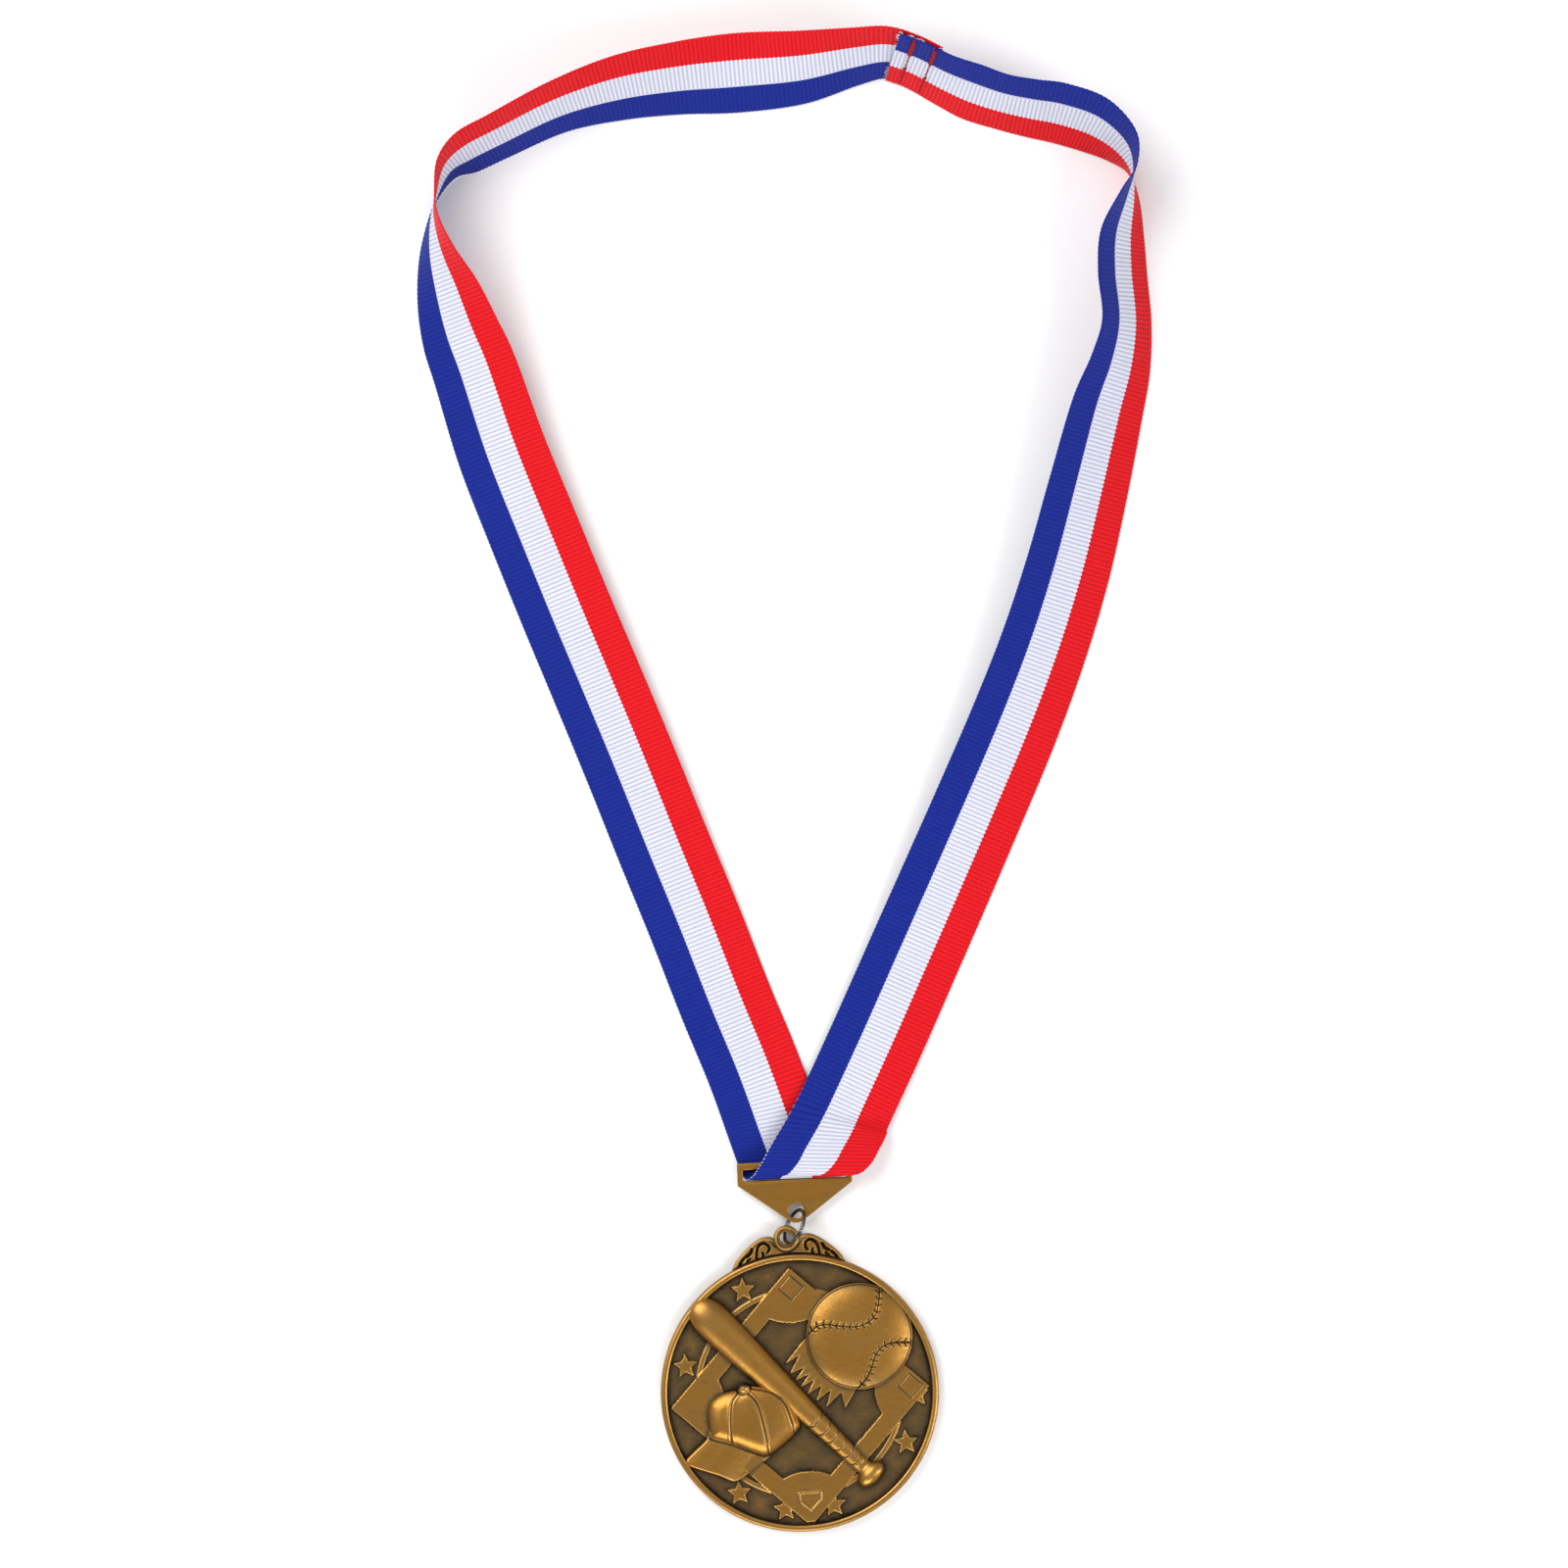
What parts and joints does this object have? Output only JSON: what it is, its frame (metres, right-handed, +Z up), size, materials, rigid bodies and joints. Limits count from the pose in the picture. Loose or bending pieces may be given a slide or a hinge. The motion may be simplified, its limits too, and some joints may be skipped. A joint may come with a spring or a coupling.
{
  "type": "sports medal",
  "caption": "Round die-cast sports medal with raised relief, hung by a jump ring and slotted hanger on a striped neck ribbon laid out in a loop.",
  "frame": {"origin": "centre of the medallion's flat back face, on the surface that the medal lies on", "axes": "+Z up out of the medallion's front, +Y from the medallion towards the neck loop, +X to the right seen from the front"},
  "size_m": [0.1722, 0.3501, 0.0222],
  "materials": {
    "antique_bronze": "antique plated, dark in the recesses and rubbed bright on the relief",
    "bright_nickel": "bright nickel plate",
    "ribbon_cloth": "ribbed grosgrain in three equal stripes, blue, white and red",
    "sewing_thread": "spun polyester thread"
  },
  "bodies": {
    "ribbon": {"neck_ribbon": "ribbon_cloth", "stitch_row_1": "sewing_thread", "stitch_row_2": "sewing_thread"},
    "hanger": {"ribbon_hanger": "antique_bronze"},
    "ring": {"jump_ring": "bright_nickel"},
    "medal": {"medallion": "antique_bronze"}
  },
  "joints": [
    {"name": "hanger_lift", "type": "hinge", "parent": "ribbon", "child": "hanger", "pos_m": [-0.00134, 0.05332, 0.0024], "axis": [-0.999, -0.0436, 0], "range_deg": [0, 25]},
    {"name": "ring_swing", "type": "hinge", "parent": "hanger", "child": "ring", "pos_m": [-0.00051, 0.04253, 0.0024], "axis": [0, 0, 1], "range_deg": [-20, 40]},
    {"name": "medal_lift", "type": "hinge", "parent": "ring", "child": "medal", "pos_m": [-0.00128, 0.03898, 0.0042], "axis": [-0.8279, 0.3861, 0.4067], "range_deg": [0, 72]}
  ]
}
